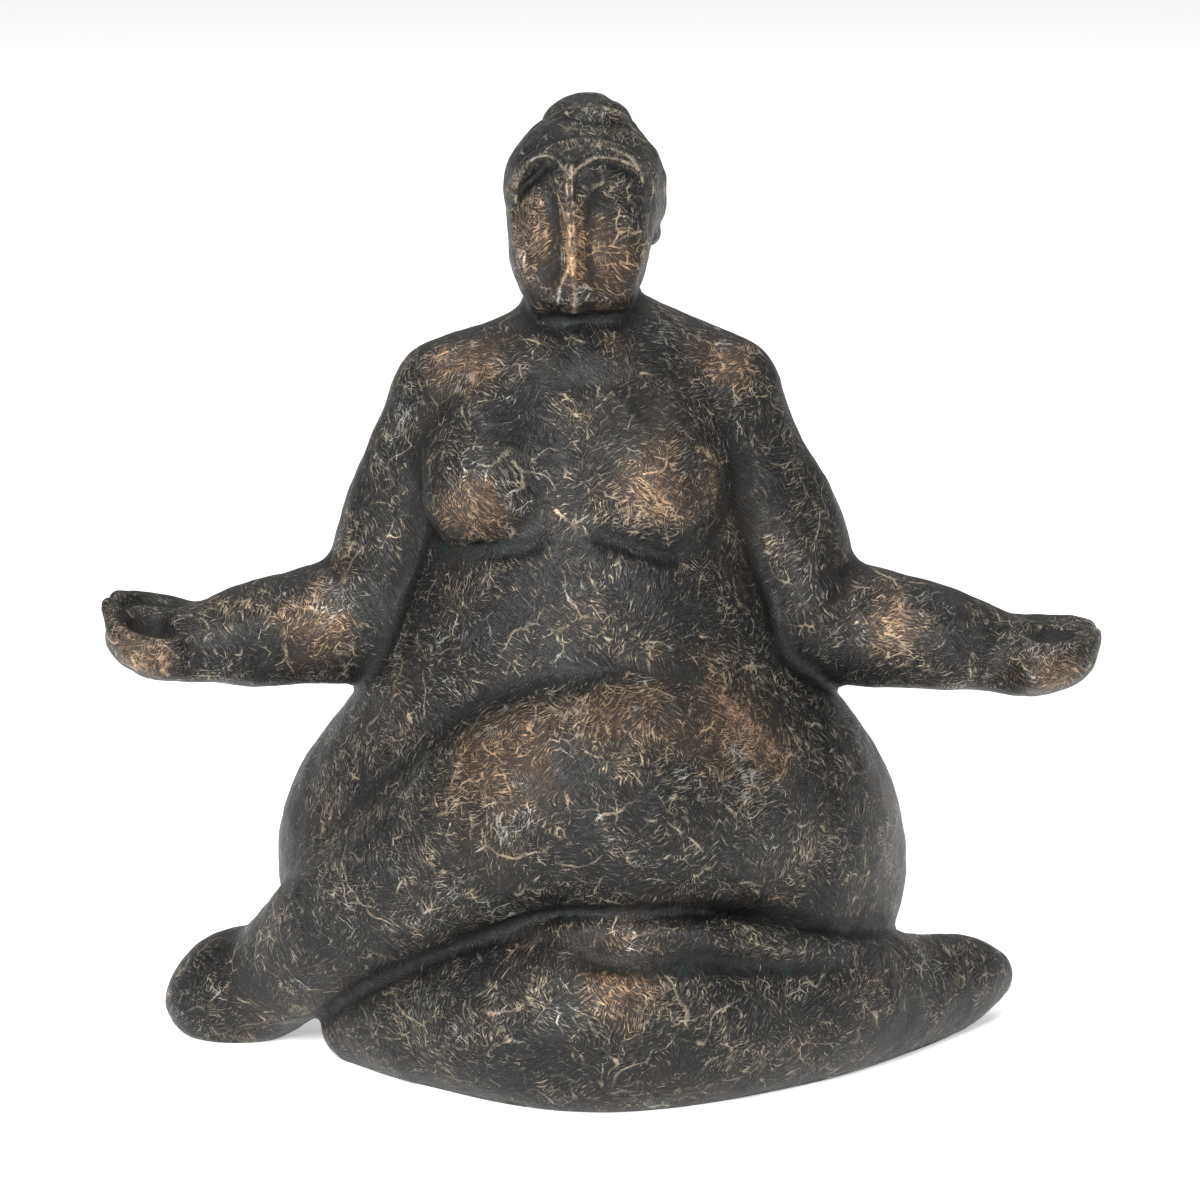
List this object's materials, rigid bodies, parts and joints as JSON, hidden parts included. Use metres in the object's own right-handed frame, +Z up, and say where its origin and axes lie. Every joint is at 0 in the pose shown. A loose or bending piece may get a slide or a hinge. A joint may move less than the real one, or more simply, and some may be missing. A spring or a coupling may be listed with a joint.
{
  "type": "meditating woman sculpture",
  "caption": "Full-figured woman seated with crossed legs, arms held out and palms open, blank mask-like face and a hair bun, in dark patina over bronze.",
  "frame": {"origin": "centre of the figure's bounding box in plan, at the height of its flat underside", "axes": "+Z up, the figure looks towards -Y, +X runs along her arms to her left hand"},
  "size_m": [0.3976, 0.2274, 0.3848],
  "materials": {
    "bronze_patina": "dark charcoal patina with thin gold-beige rubbed strokes, satin"
  },
  "bodies": {
    "root": {"seated_woman": "bronze_patina"}
  },
  "joints": []
}
